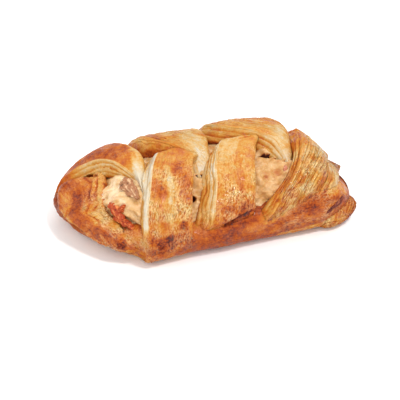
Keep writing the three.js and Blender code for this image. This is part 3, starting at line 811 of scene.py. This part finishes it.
def make_cheese():
    rows, columns = 240, 190
    at = np.linspace(*FILLING_ENDS, rows)[:, None]
    turn = np.linspace(FILLING_TURNS[1], FILLING_TURNS[0], columns)[None, :]
    (f1, g1, h1), (f2, g2, h2) = LUMPS
    lumps = h1 * np.sin(at * f1 + 1) * np.sin(turn * g1) + h2 * np.sin(at * f2 + turn * g2)
    flat = turn * MM_PER_DEGREE
    for height, size, seed in FILLING_GRAIN:
        lumps = lumps + height * field(at, flat, 30, (size, size), seed)
    full = ramp(at, FILLING_ENDS[0], FILLING_ENDS[0] + FILLING_ROUNDING[0])
    full = full * (1 - ramp(at, FILLING_ENDS[1] - FILLING_ROUNDING[0], FILLING_ENDS[1]))
    lift = FILLING_LIFT + lumps - FILLING_ROUNDING[1] * (1 - full)
    for a, t, length, height, rise in SWELLS:
        lift = lift + rise * (1 - ramp(np.hypot((at - a) / length, (turn - t) / height), 0.3, 1))
    # dark: painted shade, near black in the middle of each hollow, then browner where the cheese is toasted
    dark = np.zeros(lift.shape)
    for a, t, radius, depth in HOLLOWS:
        near = 1 - ramp(np.hypot(at - a, (turn - t) * MM_PER_DEGREE) / radius, 0.2, 1)
        lift = lift - depth * near
        dark = np.maximum(dark, ramp(near, 0.02, 0.3))
    ragged = field(at, flat, 30, (2.2, 2.2), 53)
    for a, t, radius, browner in TOASTS:
        near = np.hypot(at - a, (turn - t) * MM_PER_DEGREE) / radius + 0.3 * ragged
        dark = dark + browner * (1 - ramp(near, 0.3, 1))
    top = place(at, turn, lift)
    across = np.array([0.12, 0.38, 0.62, 0.88])[None, :, None]
    low = mix(top[:, -1:], top[:, :1], across)
    low[..., 2] = FILLING_FLOOR
    grid = np.concatenate([top, low], axis=1)
    points = with_middles(grid)
    shade = np.concatenate([dark, np.zeros((rows, 4))], axis=1)[..., None]
    toast_and_painted_shade = with_middles(shade)[:, 0]
    return make_object("cheese_core", points, tube_faces(*grid.shape[:2]), {"dark": toast_and_painted_shade})


def shred(seed, stations):
    """Rings of one ragged, wavy shred of bacon, and where each of its points lies across and along it."""
    rows, columns = 44, 30
    stations = np.array(stations, float)
    share = np.linspace(0, 1, rows)[:, None]
    turn, middle, half, lift = (spline(stations[:, i], share) for i in range(4))
    angle = np.linspace(0, 2 * np.pi, columns, endpoint=False)[None, :]
    ragged = 1 + 0.3 * field(share * 14, np.sign(np.cos(angle)) * 5, seed, (1, 1), 61)
    v = -np.cos(angle) * ragged
    height = np.sign(np.sin(angle)) * np.abs(np.sin(angle)) ** 0.7
    height = np.where(height > 0, height * 0.55, height * BACON_THICKNESS)
    crinkle = 0.4 * field(share * 16, v * 3, seed, (1, 0.9), 62)
    crinkle = crinkle + 0.25 * field(share * 40, v * 7, seed, (1, 1), 63)
    grid = place(middle + v * half, turn + 0 * v, lift + height + crinkle)
    across = np.stack([v * half + 0 * share, share * 14 + 0 * v, 0 * v * share + seed], axis=-1)
    return grid, across


def make_bacon(name, shreds):
    """One bit of bacon, made of some shreds."""
    points, faces, grain = [], [], []
    for k, stations in enumerate(shreds):
        grid, across = shred(len(name) + 3 * k, stations)
        faces.append(tube_faces(*grid.shape[:2]) + sum(len(p) for p in points))
        points.append(with_middles(grid))
        grain.append(with_middles(across))
    attributes = {"grain": np.concatenate(grain)}
    return make_object(name + "_rasher", np.concatenate(points), np.concatenate(faces), attributes)


# Materials

def colour(red, green, blue):
    """Linear colour from the 0 to 255 values of a screen colour."""
    def linear(v):
        v /= 255
        return v / 12.92 if v <= 0.04045 else ((v + 0.055) / 1.055) ** 2.4
    return (linear(red), linear(green), linear(blue), 1)


class Shader:
    """A node material, with short ways to add and join its nodes."""

    def __init__(self, name):
        self.material = bpy.data.materials.new(name)
        self.material.use_nodes = True
        self.tree = self.material.node_tree
        self.surface = self.tree.nodes["Principled BSDF"]

    def plug(self, node, inputs):
        for key, value in inputs.items():
            if isinstance(value, bpy.types.NodeSocket):
                self.tree.links.new(value, node.inputs[key])
            else:
                node.inputs[key].default_value = value

    def node(self, kind, settings, inputs):
        """The outputs of a new node."""
        made = self.tree.nodes.new("ShaderNode" + kind)
        for key, value in settings.items():
            setattr(made, key, value)
        self.plug(made, inputs)
        return made.outputs

    def place(self):
        return self.node("TexCoord", {}, {})["Object"]

    def attribute(self, name, output="Fac"):
        return self.node("Attribute", {"attribute_name": name}, {})[output]

    def math(self, operation, *values):
        return self.node("Math", {"operation": operation}, dict(enumerate(values)))[0]

    def added(self, value, part, weight):
        return self.math("MULTIPLY_ADD", part, weight, value)

    def shifted(self, value, part, weight):
        """A value moved by how far a part is from its middle."""
        return self.added(value, self.math("SUBTRACT", part, 0.5), weight)

    def clamped(self, value):
        return self.math("MINIMUM", self.math("MAXIMUM", value, 0.0), 1.0)

    def noise(self, vector, scale, detail=3.0, rough=0.55):
        inputs = {"Vector": vector, "Scale": scale, "Detail": detail, "Roughness": rough}
        return self.node("TexNoise", {}, inputs)["Fac"]

    def grained(self, stretch, detail, rough):
        """Noise that follows the grain of a piece."""
        inputs = {0: self.attribute("grain", "Vector"), 1: stretch}
        scaled = self.node("VectorMath", {"operation": "MULTIPLY"}, inputs)[0]
        return self.noise(scaled, 1.0, detail, rough)

    def lines(self, noise, sharp, weight):
        """Thin wandering lines where a noise crosses its middle value."""
        off = self.math("ABSOLUTE", self.math("SUBTRACT", noise, 0.5))
        line = self.math("MAXIMUM", self.math("MULTIPLY_ADD", off, -sharp, 1.0), 0.0)
        return self.math("MULTIPLY", line, weight)

    def ramp(self, value, stops):
        made = self.tree.nodes.new("ShaderNodeValToRGB")
        self.plug(made, {0: value})
        elements = made.color_ramp.elements
        while len(elements) < len(stops):
            elements.new(0.5)
        for element, (position, shade) in zip(elements, stops):
            element.position = position
            element.color = shade
        return made.outputs[0]

    def mixed(self, share, first, second):
        return self.node("Mix", {"data_type": "RGBA"}, {0: share, 6: first, 7: second})[2]

    def bump(self, height, strength, distance):
        return self.node("Bump", {}, {"Height": height, "Strength": strength, "Distance": distance})[0]

    def finish(self, **inputs):
        self.plug(self.surface, {key.replace("_", " "): value for key, value in inputs.items()})
        return self.material


# Screen colours of the crust from pale to nearly black, by how brown it is, and of the rest
CRUST_COLOURS = (
    (0.0, (200, 188, 166)), (0.2, (197, 166, 117)), (0.35, (193, 143, 70)), (0.5, (186, 118, 42)),
    (0.6, (178, 98, 30)), (0.7, (170, 84, 26)), (0.8, (150, 64, 20)), (0.9, (116, 42, 17)),
    (1.0, (66, 20, 12)),
)
# Colour of the painted glints: highlights painted into the crust's colour
PAINTED_GLINT_COLOUR = (252, 216, 152)
CHEESE_COLOURS = (
    (0.0, (236, 214, 182)), (0.3, (212, 176, 128)), (0.5, (192, 144, 84)), (0.7, (172, 100, 46)),
    (1.0, (66, 24, 12)),
)
BACON_COLOURS = {  # lean and fat
    "bacon_1": ((172, 66, 28), (220, 136, 74)),
    "bacon_2": ((164, 110, 74), (214, 176, 136)),
    "bacon_3": ((196, 124, 96), (224, 172, 132)),
    "bacon_4": ((104, 40, 28), (150, 82, 52)),
}


def crust_material():
    made = Shader("crust_baked")
    coords = made.place()
    bake = made.attribute("bake")
    crackle = made.attribute("crackle")
    lined = made.attribute("lined")
    mottle = made.noise(coords, 260.0, 3.0, 0.6)
    specks = made.noise(coords, 1050.0, 2.0, 0.6)

    # Flaky patches, which fade out on dark crust
    patches = made.added(-1.9, made.noise(coords, 140.0, 2.0, 0.5), 5.0)
    patches = made.math("MULTIPLY", made.clamped(patches), crackle)
    patches = made.math("MULTIPLY", patches, made.clamped(made.added(2.0, bake, -2.2)))
    pale_cracks = made.lines(made.grained((0.5, 0.19, 1.0), 3.0, 0.6), 15.0, patches)
    dark_cracks = made.lines(made.grained((0.5, 0.2, 3.1), 3.0, 0.6), 24.0, patches)
    # Painted glints: thin lines of pale colour that stand in for highlights
    glints = made.lines(made.grained((0.9, 0.42, 1.9), 2.0, 0.6), 10.0, patches)
    dark_layers = made.lines(made.grained((0.6, 0.035, 5.3), 1.0, 0.5), 12.0, lined)
    pale_layers = made.lines(made.grained((0.5, 0.03, 7.7), 1.0, 0.5), 9.0, lined)

    # Colour, by how brown the crust is
    value = made.shifted(bake, made.grained((0.9, 0.1, 1.0), 4.0, 0.65), made.added(0.12, lined, 0.34))
    value = made.shifted(value, mottle, 0.38)
    value = made.shifted(value, specks, made.added(0.34, crackle, 0.4))
    for part, browner in ((pale_cracks, -0.16), (dark_cracks, 0.16), (dark_layers, 0.1), (pale_layers, -0.1)):
        value = made.added(value, part, browner)
    shade = made.ramp(value, [(p, colour(*c)) for p, c in CRUST_COLOURS])
    # Painted highlights mixed in along the glint lines
    shade = made.mixed(made.math("MULTIPLY", glints, 0.95), shade, colour(*PAINTED_GLINT_COLOUR))

    # Relief and glaze
    height = made.math("MULTIPLY", made.math("MULTIPLY", specks, crackle), 0.3)
    height = made.added(height, mottle, 0.7)
    for part, rise in ((pale_cracks, 0.5), (glints, 0.5), (dark_cracks, -0.5), (dark_layers, -0.8)):
        height = made.added(height, part, rise)
    gloss = made.added(mottle, specks, 0.7)
    glaze = made.added(made.added(-0.76, mottle, 1.8), patches, 0.3)
    return made.finish(
        Base_Color=shade, Roughness=made.added(0.7, mottle, -0.4), Normal=made.bump(height, 1.0, 0.0006),
        Specular_IOR_Level=0.08, Subsurface_Weight=0.05, Subsurface_Radius=(1.0, 0.5, 0.25),
        Subsurface_Scale=0.0008, Coat_Weight=glaze, Coat_Roughness=0.1,
        Coat_Normal=made.bump(gloss, 0.6, 0.0004),
    )


def cheese_material():
    made = Shader("cheese_baked")
    coords = made.place()
    broad = made.noise(coords, 190.0, 3.0, 0.55)
    fine = made.noise(coords, 900.0, 4.0, 0.6)
    value = made.shifted(made.shifted(0.38, broad, 0.75), fine, 0.3)
    # Darker by the painted shade in the hollows and by the toasting
    value = made.added(value, made.attribute("dark"), 0.8)
    shade = made.ramp(value, [(p, colour(*c)) for p, c in CHEESE_COLOURS])
    return made.finish(
        Base_Color=shade, Roughness=0.45, Normal=made.bump(fine, 0.4, 0.0003), Specular_IOR_Level=0.25,
        Subsurface_Weight=0.25, Subsurface_Radius=(1.0, 0.7, 0.4), Subsurface_Scale=0.002,
        Coat_Weight=0.2, Coat_Roughness=0.25,
    )


def bacon_material(name, lean, fat):
    made = Shader(name)
    coords = made.place()
    fine = made.noise(coords, 1100.0, 3.0, 0.6)
    value = made.shifted(made.grained((0.8, 0.3, 1.0), 4.0, 0.65), fine, 0.4)
    dark = tuple(c * 0.35 for c in lean[:3]) + (1,)
    shade = made.ramp(value, [(0.3, dark), (0.43, lean), (0.53, lean), (0.62, fat)])
    return made.finish(
        Base_Color=shade, Roughness=0.5, Normal=made.bump(fine, 0.6, 0.0004), Specular_IOR_Level=0.2,
        Subsurface_Weight=0.1, Subsurface_Radius=(1.0, 0.3, 0.2), Subsurface_Scale=0.001,
        Coat_Weight=0.12, Coat_Roughness=0.12,
    )


def smooth(made, material):
    made.data.shade_smooth()
    made.data.materials.append(material)


# Studio

CAMERA = {"azimuth": -18, "elevation": 35, "distance": 0.65, "aim": (0, 0, 0.018), "lens": 117, "sensor": 36}
CAMERA_SHIFT = (-1.5 / 400, -14 / 400)
LIGHTS = {  # place, size and power
    "key": ((0.5, 0.4, 0.9), 1.1, 4.7),
    "front": ((-0.35, -0.8, 0.7), 0.9, 4.7),
    "left": ((-0.9, 0.2, 0.6), 1.1, 3.2),
    "glints": ((0.2, -0.4, 0.9), 0.12, 4.4),
}
LIGHTS_AIM = (0, 0, 0.01)
SKY = 0.7
FLOOR_GREYS = (0.93, 0.95)


def aim(obj, target):
    obj.rotation_mode = "QUATERNION"
    obj.rotation_quaternion = (Vector(target) - obj.location).to_track_quat("-Z", "Y")


def make_camera():
    azimuth, elevation = (math.radians(CAMERA[angle]) for angle in ("azimuth", "elevation"))
    level = math.cos(elevation)
    back = Vector((math.sin(azimuth) * level, -math.cos(azimuth) * level, math.sin(elevation)))
    camera = add_object("camera", bpy.data.cameras.new("camera"))
    camera.location = Vector(CAMERA["aim"]) + back * CAMERA["distance"]
    aim(camera, CAMERA["aim"])
    camera.data.sensor_width = CAMERA["sensor"]
    camera.data.lens = CAMERA["lens"]
    camera.data.shift_x, camera.data.shift_y = CAMERA_SHIFT
    bpy.context.scene.camera = camera


def make_light(name, location, size, power):
    lamp = bpy.data.lights.new(name, "AREA")
    lamp.energy = power
    lamp.size = size
    made = add_object(name, lamp)
    made.location = location
    aim(made, LIGHTS_AIM)


def make_studio():
    world = bpy.data.worlds.new("studio")
    world.use_nodes = True
    background = world.node_tree.nodes["Background"].inputs
    background["Color"].default_value = (1, 1, 1, 1)
    background["Strength"].default_value = SKY
    bpy.context.scene.world = world
    bpy.context.scene.view_settings.view_transform = "Standard"
    for name, light in LIGHTS.items():
        make_light(name, *light)
    bpy.ops.mesh.primitive_grid_add(x_subdivisions=2, y_subdivisions=2, size=4)
    floor = bpy.context.object
    floor.name = "floor"
    made = Shader("studio_floor")
    greys = [(end, (grey, grey, grey, 1)) for end, grey in enumerate(FLOOR_GREYS)]
    shade = made.ramp(made.noise(made.place(), 3.0, 2.0), greys)
    floor.data.materials.append(made.finish(Base_Color=shade, Roughness=0.9))


# Assembly

dough = make_dough()
smooth(dough, crust_material())
cheese = make_cheese()
smooth(cheese, cheese_material())
for piece, node, slot in ((dough, "dough", "crust"), (cheese, "cheese_filling", "cheese")):
    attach(piece, "root")
    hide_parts(node)

for node, shreds in BACON.items():
    piece = make_bacon(node, shreds)
    lean, fat = BACON_COLOURS[node]
    smooth(piece, bacon_material(node + "_meat", colour(*lean), colour(*fat)))
    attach(piece, "root")
    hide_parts(node)

make_camera()
make_studio()
